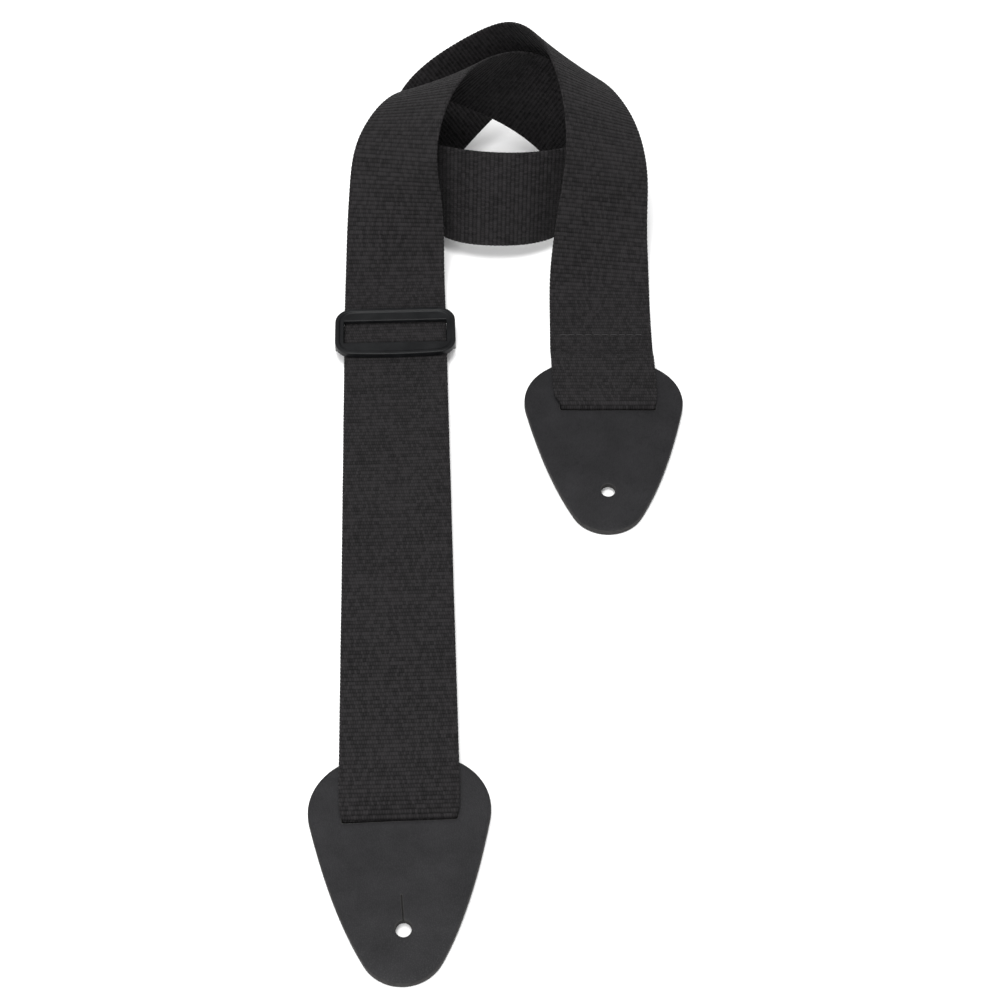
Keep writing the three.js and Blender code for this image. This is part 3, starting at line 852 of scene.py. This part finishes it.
# ---------------------------------------------------------------- slider
def slider():
    """The CAD frame's shape with its edges softened."""
    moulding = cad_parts["slider_frame"].data.copy()
    body = bpy.data.objects.new("slider_moulding", moulding)
    bpy.context.scene.collection.objects.link(body)
    reshape(body, lambda points: off_left_leg(points) - (0, SLIDER_CENTRE, 0))
    remesh = body.modifiers.new("shell", "REMESH")
    remesh.mode = "VOXEL"
    remesh.voxel_size = 0.25 * MM
    soften = body.modifiers.new("soften", "SMOOTH")
    soften.factor = 0.6
    soften.iterations = 8
    mesh = bpy.data.meshes.new_from_object(
        body.evaluated_get(bpy.context.evaluated_depsgraph_get())
    )
    body.modifiers.clear()
    body.data = mesh
    mesh.polygons.foreach_set("use_smooth", np.ones(len(mesh.polygons), bool))
    reshape(body, lambda points: left_leg(points + (0, SLIDER_CENTRE, 0)))
    mesh.materials.clear()
    mesh.materials.append(PLASTIC)
    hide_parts("slider_frame")
    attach(body, "slider")
    return body


# ---------------------------------------------------------------- stitches
THREAD_RADIUS = 0.26 * MM


def stitch_row(name, body, leg, along, up, width, pitch, replaced, seed):
    """A row of lock stitches across the webbing, each a short arched tube that dives in."""
    rng = np.random.default_rng(seed)
    radius, sides = THREAD_RADIUS, 8
    verts, faces = [], []
    count = int(width / pitch)
    side_view = np.array([(-0.5, -0.9), (-0.46, -0.1), (-0.3, 0.55), (0, 0.75), (0.3, 0.55),
                          (0.46, -0.1), (0.5, -0.9)])
    ring = np.linspace(0, 2 * math.pi, sides, endpoint=False)
    for k in range(count):
        centre = (k - (count - 1) / 2) * pitch + rng.uniform(-0.06, 0.06) * pitch
        lean = rng.uniform(-0.25, 0.25) * MM
        length = pitch * rng.uniform(0.74, 0.82)
        start = len(verts)
        line = np.column_stack([
            centre + side_view[:, 0] * length,
            along + side_view[:, 0] * lean,
            up + side_view[:, 1] * radius,
        ])
        heading = np.gradient(line, axis=0)
        heading /= np.linalg.norm(heading, axis=1)[:, None]
        side = np.array([0.0, 1.0, 0.0])
        other = np.cross(heading, side)
        for p, o in zip(line, other):
            verts += [p + radius * (math.cos(a) * side + math.sin(a) * o) for a in ring]
        for j in range(len(line) - 1):
            for i in range(sides):
                a, b = start + j * sides + i, start + j * sides + (i + 1) % sides
                faces.append((a, a + sides, b + sides, b))
        faces.append([start + i for i in range(sides)])
        faces.append([start + (len(line) - 1) * sides + i for i in reversed(range(sides))])
    mesh = bpy.data.meshes.new(name)
    mesh.from_pydata(leg(verts).tolist(), [], faces)
    mesh.polygons.foreach_set("use_smooth", np.ones(len(mesh.polygons), bool))
    mesh.materials.append(THREAD)
    piece = bpy.data.objects.new(name, mesh)
    bpy.context.scene.collection.objects.link(piece)
    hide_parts(replaced)
    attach(piece, body)
    return piece


def build_webbing():
    """The band's seven pieces: the three of the loop go with the root, the other four stay in the CAD
    frame.
    """
    back_end, left_end, front_end, loop_end = (row_at(d) for d in LINE["ends"][:4])
    loop_rows, block = loop_end - front_end, 2 * ROWS_PER_RIB
    spans = len(LOOP_GUIDES) + 3
    first_cut = front_end + block * round(loop_rows * 6 / spans / block)
    second_cut = front_end + block * round(loop_rows * 15 / spans / block)
    last = len(LINE["at"]) - 1

    back, length = webbing("webbing_back_and_bar", 0, back_end)
    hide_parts("webbing_left_back", "webbing_bar_flap", "webbing_bar_turn")
    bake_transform(back)

    end, length = webbing("webbing_left_end", back_end, left_end)
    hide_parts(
        "webbing_left_slot_fold", "webbing_left_over_leather", "webbing_left_under_leather",
        "webbing_left_lower_front", "webbing_left_lower_back",
    )
    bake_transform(end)

    front, length = webbing("webbing_left_upper", left_end, front_end)
    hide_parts("webbing_left_front")
    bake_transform(front)

    for name, start, stop, nodes in (
        ("webbing_loop_left", front_end, first_cut, ("webbing_left_rise", "webbing_left_crest")),
        ("webbing_loop_front", first_cut, second_cut,
         ("webbing_right_turn", "webbing_front_band", "webbing_left_turn")),
        ("webbing_loop_right", second_cut, loop_end, ("webbing_right_crest", "webbing_right_rise")),
    ):
        piece, length = webbing(name, start, stop)
        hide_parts(*nodes)
        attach(piece, "root")

    right, length = webbing("webbing_right_end", loop_end, last)
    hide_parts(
        "webbing_right_slot_fold", "webbing_right_over_leather",
        "webbing_right_under_leather", "webbing_right_seam", "webbing_right_tail",
    )
    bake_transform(right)


# ---------------------------------------------------------------- stage
CAMERA_DOWN = 48  # degrees below the horizon


def area_light(name, place, target, size, power):
    lamp = bpy.data.lights.new(name, "AREA")
    lamp.shape = "DISK"
    lamp.size = size
    lamp.energy = power
    holder = bpy.data.objects.new(name, lamp)
    holder.location = place
    aim = Vector(target) - Vector(place)
    holder.rotation_euler = aim.to_track_quat("-Z", "Y").to_euler()
    holder.visible_camera = False
    bpy.context.scene.collection.objects.link(holder)


def studio():
    """White surface and surroundings, two soft lights, and the camera looking down at the strap."""
    scene = bpy.context.scene
    scene.view_settings.view_transform = "Standard"
    world = bpy.data.worlds.new("studio")
    world.use_nodes = True
    world.node_tree.nodes["Background"].inputs["Color"].default_value = (1, 1, 1, 1)
    world.node_tree.nodes["Background"].inputs["Strength"].default_value = 0.7
    scene.world = world

    mesh = bpy.data.meshes.new("floor")
    reach = 6.0
    mesh.from_pydata(
        [(-reach, -reach, 0), (reach, -reach, 0), (reach, reach, 0), (-reach, reach, 0)],
        [], [(0, 1, 2, 3)],
    )
    mesh.materials.append(
        material("floor_white", (0.93, 0.93, 0.93), 0.9, Specular_IOR_Level=0.1)[0]
    )
    floor = bpy.data.objects.new("floor", mesh)
    floor.location.z = -0.05 * MM
    scene.collection.objects.link(floor)

    area_light("overhead", (-0.1, 0.02, 1.3), (-0.1, 0.02, 0), 0.9, 17)
    area_light("front", (-0.35, -1.5, 1.0), (0, 0.05, 0), 0.9, 26)

    lens = bpy.data.cameras.new("camera")
    lens.lens = 86.4
    lens.sensor_width = 36
    lens.clip_start = 0.01
    camera = bpy.data.objects.new("camera", lens)
    camera.location = (-0.005, -0.764, 0.842)
    camera.rotation_euler = (math.radians(90 - CAMERA_DOWN), 0, 0)
    scene.collection.objects.link(camera)
    scene.camera = camera


# ---------------------------------------------------------------- assembly
leather_end("leather_end_left", "left_end", left_leg, LEFT_TIP, LEFT_SLOT, True, LEFT_TURN, 11)
leather_end("leather_end_right", "right_end", right_leg, RIGHT_TIP, RIGHT_SLOT, False, 0, 12)
build_webbing()
slider()

seam_along = RIGHT_TIP + BEND_FROM_TIP + 8.6 * MM
stitch_row(
    "thread_right_seam", "root", right_leg, seam_along, RIGHT_SEAM + WEBBING_THICK / 2,
    46 * MM, 4.2 * MM, "stitch_right_seam", 21,
)
flap_end = SLIDER_CENTRE - CENTRE_BAR_WIDTH / 2 - FLAP_SLOPE - FLAP_LEVEL
for number, from_end, seed in ((1, 4.6 * MM, 22), (2, 14.6 * MM, 23)):
    stitch_row(
        f"thread_bar_flap_{number}", "slider", left_leg, flap_end + from_end,
        FLAP_LYING + WEBBING_THICK / 2, 43 * MM, 3.2 * MM, f"stitch_bar_flap_{number}", seed,
    )

studio()
